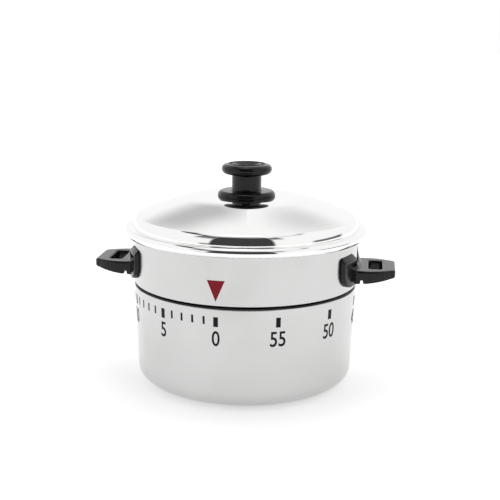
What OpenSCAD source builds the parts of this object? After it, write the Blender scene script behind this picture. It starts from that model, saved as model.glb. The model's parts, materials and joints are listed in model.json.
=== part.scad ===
// Wind-up kitchen timer in the shape of a small lidded cooking pot.
// The lower half stands still and holds the movement. The upper half, with the lid,
// knob and handles, is the dial: it turns clockwise, seen from above, to wind the timer.
// Millimetres, +Z up, origin at the middle of the base. The front is -Y.

/* [Shells] */
// Outer diameter of both shells where they meet
body_d = 70; // [62:1:84]
// How much smaller the foot of the lower shell is, in radius
draft = 1; // [0:0.1:2]
// Height of the lower shell
lower_h = 30.45; // [26:0.5:40]
// Height of the open gap between the shells
gap_h = 0.95; // [0.6:0.05:1.6]
// Height of the upper shell
upper_h = 17.3; // [15:0.1:22]
// Sheet thickness of the shells
sheet_t = 0.8; // [0.5:0.05:1.2]
// Outer corner radius at the foot of the lower shell
foot_r = 4.5; // [3:0.1:6]
// Height of the rubber ring under the foot
pad_h = 0.6; // [0.4:0.1:1.5]
// Width of the rubber ring under the foot
pad_w = 2.4; // [1.5:0.1:3]

/* [Lid and knob] */
// Radius of the rolled wire edge of the lid
roll_r = 1.45; // [1:0.05:1.8]
// Height of the lid's flat middle above the groove of the rolled edge
dome_h = 9.2; // [7.5:0.1:12]
// Radius that the lid's outside is drawn to
cap_r = 80; // [65:1:110]
// Radius of the flat middle of the lid, under the knob
flat_r = 13.5; // [11:0.5:16]
// Sheet thickness of the lid
lid_t = 0.6; // [0.4:0.05:0.9]
// Diameter of the knob's top disc
knob_d = 15.7; // [12:0.1:20]
// Diameter of the knob's collar
collar_d = 18; // [14:0.1:22]
// Diameter of the knob's neck
neck_d = 9.2; // [7:0.1:11]
// Height of the knob above the lid
knob_h = 9.8; // [8.5:0.1:13]

/* [Handles] */
// Reach of each handle tip from the axis of the timer, beyond the shell
handle_reach = 12; // [9:0.1:14]
// Width of a handle loop at its widest
handle_w = 19.6; // [16:0.1:26]
// Thickness of a handle loop at the shell
handle_t = 4.2; // [3.4:0.1:5.5]
// Thickness of the handle plate on the shell
plate_t = 1.4; // [1:0.1:2.2]
// Height of a loop's flat top above the gap
handle_z = 5.9; // [5.4:0.1:8]
// Turn of the handles' line from square to the pointer
handle_turn = 7; // [-20:1:20]

/* [Movement] */
// Diameter of the movement's two plates
frame_d = 52; // [51:1:54]
// Thickness of each movement plate
frame_t = 1; // [0.8:0.1:1.4]
// Clear height between the movement plates
frame_gap = 12; // [11.5:0.5:15]
// Height of the lower movement plate above the shell's floor
frame_z = 7.6; // [6.8:0.2:10]
// Diameter of the main arbor
arbor_d = 5; // [4:0.2:6]
// Side of the square at the top of the main arbor
square_w = 3.4; // [2.6:0.1:3.6]
// Diameter of the wheel arbors
shaft_d = 1.5; // [1.2:0.1:2]
// Running clearance of every shaft in its hole, in radius
run_gap = 0.05; // [0.02:0.01:0.1]
// Clearance between pieces that are fastened together
seat_gap = 0.05; // [0.02:0.01:0.1]

/* [Gears] */
// Module of the main wheel and its pinion
main_module = 0.5; // [0.45:0.05:0.55]
// Module of the two faster pairs
fast_module = 0.35; // [0.3:0.05:0.4]
// Teeth of the main wheel
main_teeth = 54; // [48:6:60]
// Teeth of the second and third wheels
wheel_teeth = 48; // [42:6:48]
// Teeth of every pinion
pinion_teeth = 12; // [12:1:14]
// Teeth of the escape wheel
escape_teeth = 15; // [12:1:18]
// Thickness of every wheel
wheel_t = 0.8; // [0.5:0.1:1]

/* [Hidden] */
$fn = 96;

// Colours
steel = [0.80, 0.80, 0.79];
bright = [0.90, 0.90, 0.90];
black = [0.06, 0.06, 0.065];
brass = [0.80, 0.66, 0.35];
grey_steel = [0.55, 0.56, 0.58];

// Heights and radii of the shells
body_r = body_d / 2;
in_r = body_r - sheet_t;
foot_out_r = body_r - draft;
lower_top = pad_h + lower_h;
gap_top = lower_top + gap_h;
upper_top = gap_top + upper_h;
floor_z = pad_h + sheet_t;
liner_t = 1.2;
liner_h = 5;
liner_lip_h = 0.4;
pad_mid_r = foot_out_r - foot_r - 1 - pad_w / 2;

// Lid and knob
groove_r = body_r + 0.3;
groove_z = upper_top + seat_gap;
brim_w = 1.15;
brim_rise = 0.12;
roll_mid_r = groove_r + brim_w;
roll_z = groove_z + brim_rise - roll_r;
lid_top = groove_z + dome_h;
flat_blend = 6.5;
blend_r = flat_r + flat_blend;
shoulder_w = 1.5;
shoulder_r = groove_r - shoulder_w;
stud_r = 1.5;
stud_hole_r = stud_r + seat_gap;
stud_reach = 5;
stud_room = 0.5;
collar_h = 1.6;
collar_edge = 0.15;
disc_half = 1.5;
neck_fillet = 0.65;
dish_in = 1.2;
dish_r = 0.7;
button_r = 1.6;

// Upper shell's ledge and the carrier under it
ledge_h = 0.6;
ledge_w = 2.7;
carrier_t = 1.5;
carrier_z = gap_top + 0.1;
ledge_z = carrier_z + carrier_t + seat_gap;
hub_r = 5.5;
hub_h = 12;
hub_z = gap_top;
column_r = 4.5;
stud_head_r = 2.8;
stud_head_h = 1.4;
stud_head_z = hub_z + hub_h + 1;

// Handles: a loop with a flat top on a plate that follows the shell
handle_screw_r = 0.8;
handle_screw_z = gap_top + handle_z - 1.7;
handle_screw_y = 5.2;
handle_top = gap_top + handle_z;
tip_r = body_r + handle_reach;
belly_r = body_r + 3.2;
belly_len = handle_reach - 3.2 + 2.5;
loop_hole_in = 3.8;
loop_hole_w = 4.1;
loop_hole_half = 5.7;
horn_h = 5.6;
horn_half = 17.6;
horn_inner = 9.6;
plate_low = gap_top + handle_z - handle_t;

// Pointer
pointer_w = 5.2;
pointer_h = 6.1;
pointer_skin = 0.06;
pointer_tip_z = gap_top + 1.4;

// Movement frame
frame_r = frame_d / 2;
low_plate_z = floor_z + frame_z;
inner_z = low_plate_z + frame_t;
top_plate_z = inner_z + frame_gap;
top_plate_top = top_plate_z + frame_t;
pillar_r = 1.3;
pillar_at = frame_r - 1.9;
pillar_angles = [20, 140, 258];
screw_r = 0.8;
screw_head_r = 1.6;
screw_head_h = 0.5;
foot_post_r = 1.8;
bush_r = 4;
bush_flange_r = 5.2;
arbor_r = arbor_d / 2;
arbor_pivot_r = 1.5;
arbor_top = hub_z + hub_h - 1;
arbor_shoulder = hub_z - 0.4;

// Levels inside the movement
spring_z = inner_z + 0.8;
spring_h = 3.5;
main_z = spring_z + spring_h + 0.7;
ratchet_z = main_z + wheel_t + 0.1;
fast_z = ratchet_z + 1.7;
slow_z = fast_z + wheel_t + 1.3;
cam_z = slow_z - 0.1;
balance_z = slow_z + 0.3;

// Gear sizes. The pitch radius is half of module times teeth.
main_pitch_r = main_module * main_teeth / 2;
main_pinion_r = main_module * pinion_teeth / 2;
fast_pitch_r = fast_module * wheel_teeth / 2;
fast_pinion_r = fast_module * pinion_teeth / 2;
main_distance = main_pitch_r + main_pinion_r;
fast_distance = fast_pitch_r + fast_pinion_r;
pressure_angle = 20;
backlash = 0.12;

// Places of the arbors: all three at one distance from the middle, a wheel pair apart
train_step = 2 * asin(fast_distance / 2 / main_distance);
second_angle = 200;
third_angle = second_angle + train_step;
escape_angle = third_angle + train_step;
second_at = polar(main_distance, second_angle);
third_at = polar(main_distance, third_angle);
escape_at = polar(main_distance, escape_angle);
shaft_r = shaft_d / 2;
shaft_hole_r = shaft_r + run_gap;
escape_tip_r = 6.4;
escape_root_r = 4.9;
verge_distance = 9.6;
verge_step = 2 * asin(verge_distance / 2 / main_distance);
verge_angle = escape_angle + verge_step;
verge_at = polar(main_distance, verge_angle);

// Stop finger and pin: the pin stands at the back, the finger rests beside it
stop_r = 11;
stop_pin_r = 0.5;
stop_finger_w = 1;
stop_pin_angle = 60;
stop_clear = 0.1;
stop_finger_angle = stop_pin_angle - asin((stop_pin_r + stop_finger_w / 2 + stop_clear) / stop_r);
stop_z = top_plate_top + 0.7;
stop_h = 1.2;

// Mainspring strip
spring_t = 0.35;
spring_in_r = arbor_r + 0.3;
spring_out_r = main_pitch_r - 1.2;
spring_turns = 6;
spring_end_angle = 100;
spring_post_r = 0.9;

// Ratchet and click on the main wheel
ratchet_teeth = 16;
ratchet_tip_r = arbor_r + 2.6;
ratchet_root_r = arbor_r + 1.7;
click_pin_r = 0.7;
click_pivot_r = ratchet_tip_r + 4.4;
click_at = polar(click_pivot_r, 45);
click_tip = polar(ratchet_root_r + 0.3, 2);
click_spring_r = click_pivot_r + 1.9;
click_spring_t = 0.3;

// Bell, hammer and release lever
bell_r = 21.4;
bell_t = 0.6;
bell_h = 4.6;
bell_z = floor_z + 1;
bell_post_r = 2;
hammer_at = [0, 16];
hammer_len = 10;
hammer_head_r = 1.4;
hammer_z = bell_z + bell_t + 1.1;
hammer_h = 1.8;
lever_at = [12.5, 10.5];
lever_z = cam_z + 0.1;
cam_r = 5.2;
notch_w = 1.6;
notch_depth = 0.9;
cam_notch_angle = 50;

// A point at a radius and an angle
function polar(r, a) = [r * cos(a), r * sin(a)];

// Points of a circular arc about c
function arc(c, r, a0, a1, n = 12) = [for (i = [0:n]) c + polar(r, a0 + (a1 - a0) * i / n)];

// Height of the lid's outside at radius r before its shoulder: flat, an easy bend, then a spherical cap
function cap(r) =
    let (slope = blend_r / sqrt(cap_r * cap_r - blend_r * blend_r))
    r <= flat_r ? lid_top :
    r <= blend_r ? lid_top - slope * pow(r - flat_r, 2) / flat_blend / 2 :
    lid_top - slope * flat_blend / 2 - sqrt(cap_r * cap_r - blend_r * blend_r) + sqrt(cap_r * cap_r - r * r);

// Height of the lid's outside at radius r: the cap, with a round shoulder that drops into the groove
function dome(r) =
    let (t = max(0, min(1, (r - shoulder_r) / shoulder_w)))
    cap(r) - (cap(groove_r) - groove_z) * (1 - sqrt(1 - t * t));

// Involute angle, in degrees, of pressure angle a
function inv(a) = tan(a) * 180 / PI - a;

// Half of the tooth's angle at radius r
function half_tooth(m, z, r) =
    let (pitch = m * z / 2, base = pitch * cos(pressure_angle))
    90 / z - backlash * m / pitch * 90 / PI + inv(pressure_angle) - inv(acos(min(1, base / max(r, base))));

// Outline of an involute gear with m module and z teeth, one tooth's middle at angle 0
function gear_points(m, z) =
    let (pitch = m * z / 2, tip = pitch + 0.8 * m, root = pitch - 1.15 * m, steps = [0:1:4])
    [for (k = [0:z - 1]) for (p = concat(
        [for (i = steps) let (r = root + (tip - root) * i / 4) polar(r, 360 * k / z - half_tooth(m, z, r))],
        [for (i = steps) let (r = tip - (tip - root) * i / 4)
            polar(r, 360 * k / z + half_tooth(m, z, r))])) p];

// Turn that puts a gear of z teeth in mesh with one of z1 teeth, turned by t1, that lies at angle a from it
function mesh_turn(a, z1, t1, z) = a + 180 - (0.5 - (a - t1) * z1 / 360) * 360 / z;

main_turn = 0;
second_pinion_turn = mesh_turn(second_angle, main_teeth, main_turn, pinion_teeth);
third_way = atan2(third_at[1] - second_at[1], third_at[0] - second_at[0]);
third_pinion_turn = mesh_turn(third_way, wheel_teeth, 0, pinion_teeth);
escape_way = atan2(escape_at[1] - third_at[1], escape_at[0] - third_at[0]);
escape_pinion_turn = mesh_turn(escape_way, wheel_teeth, 0, pinion_teeth);

// A round bar standing on z
module bar(r, z, h) {
    translate([0, 0, z]) cylinder(h = h, r = r);
}

// Puts its children at every pillar's place
module at_pillars() {
    for (a = pillar_angles) translate(polar(pillar_at, a)) children();
}

// A flat gear between z and z + h with a round hole
module gear(m, z_teeth, turn, z, h, hole_r) {
    translate([0, 0, z]) difference() {
        rotate(turn) linear_extrude(height = h) polygon(gear_points(m, z_teeth));
        translate([0, 0, -1]) cylinder(h = h + 2, r = hole_r);
    }
}

// A gear wheel with four round windows between its rim and its hub
module crossed_wheel(m, z_teeth, turn, z, h, hole_r) {
    pitch = m * z_teeth / 2;
    difference() {
        gear(m, z_teeth, turn, z, h, hole_r);
        for (a = [45:90:315]) translate(polar(pitch * 0.58, a)) bar(pitch * 0.26, z - 1, h + 2);
    }
}

// A wheel arbor between the plates, with thinner pivots in both
module wheel_arbor() {
    pivot_r = shaft_r * 0.6;
    bar(shaft_r, inner_z + 0.3, frame_gap - 0.6);
    bar(pivot_r, low_plate_z - 0.2, frame_gap + 2 * frame_t + 0.4);
}

// Holes for the pivots of the arbors in one plate
module pivot_holes(z) {
    for (p = [second_at, third_at, escape_at, verge_at, lever_at])
        translate(p) bar(shaft_r * 0.6 + run_gap, z - 1, frame_t + 2);
}

// Section of the drawn cup, as an outline in radius and height
module cup_section() {
    polygon(concat(
        [[0, pad_h]],
        arc([foot_out_r - foot_r, pad_h + foot_r], foot_r, -90, 0),
        [[body_r, lower_top], [in_r, lower_top]],
        arc([foot_out_r - foot_r, pad_h + foot_r], foot_r - sheet_t, 0, -90),
        [[0, floor_z]]));
}

module lower_shell() {
    color(steel) difference() {
        rotate_extrude() cup_section();
        at_pillars() bar(screw_r + seat_gap, 0, floor_z + 1);
        for (a = [0:60:300]) translate(polar(9, a)) bar(1.2, 0, floor_z + 1);
    }
}

module base_pad() {
    color(black) difference() {
        bar(pad_mid_r + pad_w / 2, 0, pad_h);
        bar(pad_mid_r - pad_w / 2, -1, pad_h + 2);
    }
}

module base_screws() {
    color(grey_steel) at_pillars() {
        bar(screw_head_r, pad_h - screw_head_h, screw_head_h);
        bar(screw_r, pad_h - screw_head_h, screw_head_h + sheet_t + 3);
    }
}

// Plastic ring that finishes the lower shell's edge; its lip is the black line in the gap
module liner_ring() {
    out_r = in_r - seat_gap;
    color(black) rotate_extrude() polygon([
        [out_r - liner_t, lower_top - liner_h],
        [out_r - draft * liner_h / (lower_h - foot_r), lower_top - liner_h],
        [out_r, lower_top + seat_gap],
        [body_r - 0.3, lower_top + seat_gap],
        [body_r - 0.3, lower_top + liner_lip_h],
        [out_r - liner_t, lower_top + liner_lip_h]]);
}

module feet() {
    color(grey_steel) at_pillars() difference() {
        bar(foot_post_r, floor_z, frame_z);
        bar(screw_r, floor_z - 1, 4.5);
    }
}

module bottom_plate() {
    color(brass) difference() {
        bar(frame_r, low_plate_z, frame_t);
        bar(arbor_pivot_r + run_gap, low_plate_z - 1, frame_t + 2);
        pivot_holes(low_plate_z);
        at_pillars() bar(screw_r + seat_gap, low_plate_z - 1, frame_t + 2);
        translate(hammer_at) bar(shaft_hole_r, low_plate_z - 1, frame_t + 2);
        translate(polar(spring_out_r + spring_post_r + spring_t, spring_end_angle))
            bar(spring_post_r, low_plate_z - 1, frame_t + 2);
        translate([bell_post_r + 5, 0]) bar(bell_post_r * 0.6, low_plate_z - 1, frame_t + 2);
    }
}

module top_plate() {
    color(brass) difference() {
        bar(frame_r, top_plate_z, frame_t);
        bar(bush_r + seat_gap, top_plate_z - 1, frame_t + 2);
        pivot_holes(top_plate_z);
        at_pillars() bar(screw_r + seat_gap, top_plate_z - 1, frame_t + 2);
        translate(hammer_at) bar(shaft_hole_r, top_plate_z - 1, frame_t + 2);
        translate(polar(stop_r, stop_pin_angle)) bar(stop_pin_r, top_plate_z - 1, frame_t + 2);
    }
}

module plate_pillars() {
    color(grey_steel) at_pillars() difference() {
        bar(pillar_r, inner_z, frame_gap);
        bar(screw_r, top_plate_z - 4, 5);
    }
}

module plate_screws() {
    color(grey_steel) at_pillars() {
        bar(screw_head_r, top_plate_top, screw_head_h * 1.6);
        bar(screw_r, top_plate_top - frame_t - 3, frame_t + 3.1);
    }
}

module top_bush() {
    color(brass) difference() {
        union() {
            bar(bush_r, top_plate_z, frame_t + 0.4);
            bar(bush_flange_r, top_plate_top, 0.4);
        }
        bar(arbor_r + run_gap, top_plate_z - 1, frame_t + 3);
    }
}

module stop_pin() {
    color(grey_steel) translate(polar(stop_r, stop_pin_angle)) bar(stop_pin_r, top_plate_z, frame_t + 2.2);
}

module spring_post() {
    color(grey_steel) translate(polar(spring_out_r + spring_post_r + spring_t, spring_end_angle))
        bar(spring_post_r, low_plate_z, frame_t + 0.8 + spring_h);
}

// Flat strip wound in a spiral from the arbor out to its post
module mainspring() {
    steps = spring_turns * 30;
    pitch = (spring_out_r - spring_in_r) / steps;
    a0 = spring_end_angle - spring_turns * 360;
    inner = [for (i = [0:steps]) polar(spring_in_r + pitch * i, a0 + 12 * i)];
    outer = [for (i = [steps:-1:0]) polar(spring_in_r + spring_t + pitch * i, a0 + 12 * i)];
    color(grey_steel) translate([0, 0, spring_z]) linear_extrude(height = spring_h)
        polygon(concat(inner, outer));
}

// Shallow cup with its rim upwards, struck from inside
module bell() {
    color(bright) difference() {
        rotate_extrude() polygon(concat(
            [[0, bell_z]],
            arc([bell_r - 2, bell_z + 2], 2, -90, 0, 6),
            [[bell_r, bell_z + bell_h], [bell_r - bell_t, bell_z + bell_h]],
            arc([bell_r - 2, bell_z + 2], 2 - bell_t, 0, -90, 6),
            [[0, bell_z + bell_t]]));
        translate([bell_post_r + 5, 0]) bar(bell_post_r * 0.6 + seat_gap, bell_z - 1, bell_t + 2);
    }
}

module bell_post() {
    color(grey_steel) translate([bell_post_r + 5, 0]) {
        bar(bell_post_r, bell_z + bell_t, low_plate_z - bell_z - bell_t);
        bar(bell_post_r * 0.6, bell_z - 0.9, low_plate_z + frame_t - bell_z + 0.9);
    }
}

module bell_nut() {
    color(grey_steel) translate([bell_post_r + 5, 0, bell_z - 0.9]) difference() {
        cylinder(h = 0.85, r = bell_post_r * 1.15, $fn = 6);
        bar(bell_post_r * 0.6, -1, 3);
    }
}

// Band of the dial, with a ledge inside that the carrier pulls against
module upper_shell() {
    color(steel) difference() {
        rotate_extrude() polygon([
            [in_r, gap_top], [body_r, gap_top], [body_r, upper_top], [in_r, upper_top],
            [in_r, ledge_z + ledge_h], [in_r - ledge_w, ledge_z + ledge_h],
            [in_r - ledge_w, ledge_z], [in_r, ledge_z]]);
        handle_screw_places() bar(handle_screw_r + seat_gap, 0, sheet_t + 4);
    }
}

// Lid: a dome drawn from one sheet, with a narrow brim whose edge is rolled over a wire
module lid() {
    rim_r = groove_r - lid_t;
    steps = 36;
    color(bright) difference() {
        union() {
            rotate_extrude() polygon(concat(
                [for (i = [0:steps]) let (r = groove_r * sin(90 * i / steps)) [r, dome(r)]],
                [for (i = [steps:-1:0]) let (r = rim_r * sin(90 * i / steps))
                    [r, groove_z + (dome(r * groove_r / rim_r) - groove_z) * (dome_h - lid_t) / dome_h]]));
            rotate_extrude()
                translate([rim_r, groove_z + brim_rise - lid_t]) square([roll_mid_r - rim_r, lid_t]);
            rotate_extrude() translate([roll_mid_r, roll_z]) circle(r = roll_r, $fn = 48);
        }
        bar(stud_hole_r, lid_top - 5, 10);
        rotate_extrude()
            translate([0, roll_z - roll_r - 1]) square([body_r + seat_gap, groove_z - roll_z + roll_r + 1]);
    }
}

// Knob, turned section: collar flat on the lid, neck and dished top disc
module knob() {
    foot_z = lid_top + seat_gap;
    collar_top = foot_z + collar_h;
    top = foot_z + knob_h;
    neck_r = neck_d / 2;
    collar_r = collar_d / 2;
    disc_r = knob_d / 2;
    disc_z = top - disc_half;
    color(black) difference() {
        rotate_extrude() polygon(concat(
            [[0, foot_z], [collar_r - collar_edge, foot_z]],
            arc([collar_r - collar_h + collar_edge, foot_z + collar_edge], collar_h - collar_edge, 0, 90, 8),
            arc([neck_r + neck_fillet, collar_top + neck_fillet], neck_fillet, -90, -180, 4),
            arc([neck_r + neck_fillet, disc_z - disc_half - neck_fillet], neck_fillet, 180, 90, 4),
            arc([disc_r - disc_half, disc_z], disc_half, -90, 90, 12),
            arc([disc_r - disc_half - dish_in, top + 0.4], dish_r, -20, -160, 6),
            [[button_r + 0.3, top - 0.9], [button_r, top - 0.55], [0, top - 0.45]]));
        bar(stud_r, foot_z - 1, stud_reach + stud_room + 1);
    }
}

module knob_screw() {
    color(grey_steel) {
        bar(stud_head_r, stud_head_z, stud_head_h);
        bar(stud_r, stud_head_z, lid_top + stud_reach - stud_head_z);
    }
}

// Half of the loop's width at distance x from the axis: an oval cut off at the tip
function loop_half(x) = handle_w / 2 * sqrt(max(0, 1 - pow((x - belly_r) / belly_len, 2)));

module loop_plan() {
    n = 16;
    corner = 1.4;
    x0 = body_r - 1;
    x1 = tip_r - corner;
    sides = [for (i = [0:n]) let (x = x0 + (x1 - x0) * i / n) [x, loop_half(x)]];
    end_half = loop_half(x1);
    half_line = concat(sides, arc([x1, end_half - corner], corner, 70, 0, 5));
    difference() {
        polygon(concat(half_line, [for (i = [len(half_line) - 1:-1:0]) [half_line[i][0], -half_line[i][1]]]));
        translate([body_r + loop_hole_in, -loop_hole_half]) loop_hole();
    }
}

// Rounded oblong opening of a loop
module loop_hole() {
    r = 0.9;
    l = 2 * loop_hole_half;
    polygon(concat(
        arc([loop_hole_w - r, r], r, -90, 0, 5), arc([loop_hole_w - r, l - r], r, 0, 90, 5),
        arc([r, l - r], r, 90, 180, 5), arc([r, r], r, 180, 270, 5)));
}

// Side view of the loop: flat on top, sweeping up underneath towards the tip
module loop_side() {
    n = 10;
    rise = handle_t - 2.1;
    polygon(concat(
        [[body_r - 1, handle_top], [tip_r + 1, handle_top]],
        [for (i = [n:-1:0])
            [body_r - 1 + (handle_reach + 2) * i / n, handle_top - handle_t + rise * pow(i / n, 1.7)]]));
}

// Front view of the plate: two horns beside the loop, a dip between them, a rounded foot
module plate_front() {
    half = concat(
        [[0, plate_low], [12.4, plate_low]],
        arc([13, plate_low + 4.6], 4.6, -90, 0, 6),
        [[horn_half, handle_top + horn_h - 0.8], [horn_half - 0.5, handle_top + horn_h]],
        [[horn_inner, handle_top + horn_h]],
        arc([horn_inner - 4, handle_top + horn_h - 0.6], 4, 0, -90, 5),
        [[0, handle_top + horn_h - 4.6]]);
    polygon(concat(half, [for (i = [len(half) - 2:-1:1]) [-half[i][0], half[i][1]]]));
}

module handle_body() {
    skin_r = body_r + seat_gap;
    out_r = body_r + plate_t;
    horn_top = handle_top + horn_h;
    difference() {
        union() {
            intersection() {
                rotate_extrude() polygon([
                    [skin_r, plate_low], [out_r, plate_low], [out_r, horn_top - 1.6],
                    [skin_r + 0.1, horn_top], [skin_r, horn_top]]);
                rotate([90, 0, 90]) linear_extrude(height = body_r * 2) plate_front();
            }
            intersection() {
                translate([0, 0, plate_low - 1]) linear_extrude(height = handle_t + 1) loop_plan();
                translate([0, 30, 0]) rotate([90, 0, 0]) linear_extrude(height = 60) loop_side();
            }
        }
        bar(skin_r, plate_low - 2, horn_h + handle_t + 4);
        translate([out_r, -20, plate_low - 1]) cube([0.8, 40, 2.4]);
        for (y = [-handle_screw_y, handle_screw_y]) translate([0, y, handle_screw_z])
            rotate([0, 90, 0]) cylinder(h = body_r + 3, r = handle_screw_r + 0.02);
    }
}

module right_handle() {
    color(black) rotate(handle_turn) handle_body();
}

module left_handle() {
    color(black) rotate(handle_turn + 180) handle_body();
}

// Puts an upright child at the inside of the shell, lying along each handle screw
module handle_screw_places() {
    for (side = [0, 180]) for (y = [-handle_screw_y, handle_screw_y])
        rotate(handle_turn + side) translate([in_r - 2, y, handle_screw_z]) rotate([0, 90, 0]) children();
}

module handle_screws() {
    color(grey_steel) handle_screw_places() {
        bar(handle_screw_r, 0, sheet_t + 4.7);
        bar(1.5, 0, 1.1);
    }
}

// Printed mark on the band, a thin skin in front
module pointer() {
    color([0.52, 0.12, 0.16]) intersection() {
        difference() {
            bar(body_r + pointer_skin + 0.02, pointer_tip_z, pointer_h);
            bar(body_r + 0.02, pointer_tip_z - 1, pointer_h + 2);
        }
        rotate([90, 0, 0]) linear_extrude(height = body_r * 2) polygon([
            [0, pointer_tip_z], [pointer_w / 2, pointer_tip_z + pointer_h],
            [-pointer_w / 2, pointer_tip_z + pointer_h]]);
    }
}

// Plastic hub of the dial: a disc under the ledge, a square socket for the arbor, a column under the lid
module carrier() {
    disc_r = in_r - seat_gap;
    color([0.1, 0.1, 0.11]) difference() {
        union() {
            difference() {
                bar(disc_r, carrier_z, carrier_t);
                for (a = [30:60:330])
                    translate(polar(disc_r * 0.58, a)) bar(disc_r * 0.17, carrier_z - 1, carrier_t + 2);
            }
            bar(hub_r, hub_z, hub_h + 1);
            bar(column_r, hub_z + hub_h, lid_top - lid_t - hub_z - hub_h - seat_gap);
        }
        translate([0, 0, hub_z - 1 + hub_h / 2])
            cube([square_w + 2 * seat_gap, square_w + 2 * seat_gap, hub_h + 2],
            center = true);
        bar(stud_head_r + seat_gap, hub_z + hub_h - 0.5, stud_head_h + 1.5 + seat_gap);
        bar(stud_hole_r, hub_z + hub_h, lid_top);
    }
}

module main_arbor() {
    color(grey_steel) {
        bar(arbor_pivot_r, low_plate_z - 0.3, frame_t + 1);
        bar(arbor_r, inner_z + 0.2, arbor_shoulder - inner_z - 0.2);
        translate([-square_w / 2, -square_w / 2, arbor_shoulder - 1])
            cube([square_w, square_w, arbor_top - arbor_shoulder + 1]);
    }
}

module main_wheel() {
    color(brass) difference() {
        gear(main_module, main_teeth, main_turn, main_z, wheel_t, arbor_r + seat_gap);
        for (a = [100:65:295]) translate(polar(main_pitch_r * 0.66, a))
            bar(main_pitch_r * 0.2, main_z - 1, wheel_t + 2);
        translate(click_at) bar(click_pin_r, main_z - 1, wheel_t + 2);
    }
}

// Saw-toothed wheel fixed on the arbor
module ratchet_wheel() {
    points = [for (k = [0:ratchet_teeth - 1]) for (p = [
        polar(ratchet_tip_r, 360 * k / ratchet_teeth - 2),
        polar(ratchet_root_r, 360 * k / ratchet_teeth)]) p];
    color(grey_steel) translate([0, 0, ratchet_z]) difference() {
        linear_extrude(height = wheel_t) polygon(points);
        bar(arbor_r + seat_gap, -1, wheel_t + 2);
    }
}

module click_pin() {
    color(grey_steel) translate(click_at) {
        bar(click_pin_r, main_z, wheel_t + 1.1);
        bar(click_pin_r + 0.4, ratchet_z + wheel_t + 0.1, 0.25);
    }
}

// Small pawl that rests in the ratchet's teeth
module click() {
    way = click_tip - click_at;
    color(brass) translate([click_at[0], click_at[1], ratchet_z]) difference() {
        union() {
            cylinder(h = wheel_t, r = click_pin_r + 0.8);
            rotate(atan2(way[1], way[0])) linear_extrude(height = wheel_t)
                polygon([[0, -1.2], [norm(way) * 0.4, 0], [norm(way), 0], [norm(way) - 0.1, 0.5],
                    [norm(way) * 0.6, 1.2], [0, 1.4]]);
        }
        bar(click_pin_r + run_gap, -1, wheel_t + 2);
    }
}

// Thin bent strip behind the click, fixed to the main wheel
module click_spring() {
    color(grey_steel) translate([0, 0, main_z + wheel_t]) linear_extrude(height = wheel_t)
        polygon(concat(arc([0, 0], click_spring_r + click_spring_t, 8, 62, 14),
            arc([0, 0], click_spring_r, 62, 8, 14)));
}

// Disc with one notch: at zero the release lever can drop into it
module release_cam() {
    color(brass) difference() {
        bar(cam_r, cam_z, wheel_t);
        bar(arbor_r + seat_gap, cam_z - 1, wheel_t + 2);
        rotate(cam_notch_angle) translate([cam_r - notch_depth, -notch_w / 2, cam_z - 1])
            cube([3, notch_w, wheel_t + 2]);
    }
}

module stop_finger() {
    color(grey_steel) difference() {
        union() {
            bar(arbor_r + 1.6, stop_z, stop_h);
            rotate(stop_finger_angle)
                translate([0, -stop_finger_w / 2, stop_z]) cube([stop_r + 1, stop_finger_w, stop_h]);
        }
        bar(arbor_r + seat_gap, stop_z - 1, stop_h + 2);
    }
}

module second_arbor() {
    color(grey_steel) translate(second_at) wheel_arbor();
}

module second_pinion() {
    color(grey_steel) translate(second_at)
        gear(main_module, pinion_teeth, second_pinion_turn, main_z - 0.3, wheel_t + 0.6, shaft_r + 0.02);
}

module second_wheel() {
    color(brass) translate(second_at)
        crossed_wheel(fast_module, wheel_teeth, 0, fast_z, wheel_t, shaft_r + 0.02);
}

module third_arbor() {
    color(grey_steel) translate(third_at) wheel_arbor();
}

module third_pinion() {
    color(grey_steel) translate(third_at)
        gear(fast_module, pinion_teeth, third_pinion_turn, fast_z - 0.3, wheel_t + 0.6, shaft_r + 0.02);
}

module third_wheel() {
    color(brass) translate(third_at)
        crossed_wheel(fast_module, wheel_teeth, 0, slow_z, wheel_t, shaft_r + 0.02);
}

module escape_arbor() {
    color(grey_steel) translate(escape_at) wheel_arbor();
}

module escape_pinion() {
    color(grey_steel) translate(escape_at)
        gear(fast_module, pinion_teeth, escape_pinion_turn, slow_z - 0.3, wheel_t + 0.6, shaft_r + 0.02);
}

// Wheel with pointed, leaning teeth
module escape_wheel() {
    points = [for (k = [0:escape_teeth - 1]) for (p = [
        polar(escape_root_r, 360 * k / escape_teeth - 5),
        polar(escape_tip_r, 360 * k / escape_teeth),
        polar(escape_tip_r - 0.15, 360 * k / escape_teeth + 1.4),
        polar(escape_root_r, 360 * k / escape_teeth + 4)]) p];
    color(brass) translate([escape_at[0], escape_at[1], fast_z]) difference() {
        linear_extrude(height = wheel_t) polygon(points);
        bar(shaft_r + 0.02, -1, wheel_t + 2);
        for (a = [45:90:315]) translate(polar(2.9, a)) bar(1.05, -1, wheel_t + 2);
    }
}

module verge_arbor() {
    color(grey_steel) translate(verge_at) wheel_arbor();
}

// Two-armed pallet lever. Its arms stand just clear of the escape wheel's teeth.
module verge() {
    way = atan2(escape_at[1] - verge_at[1], escape_at[0] - verge_at[0]);
    reach = verge_distance - escape_tip_r - 1;
    color(grey_steel) translate([verge_at[0], verge_at[1], fast_z]) difference() {
        rotate(way) linear_extrude(height = wheel_t) polygon([
            [-1.4, -1.2], [-1.4, 1.2], [0.2, 4.6], [reach, 5.2], [reach, 4.4], [1, 2.2], [1.6, 0],
            [1, -2.2], [reach, -4.4], [reach, -5.2], [0.2, -4.6]]);
        bar(shaft_r + 0.02, -1, wheel_t + 2);
    }
}

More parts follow.
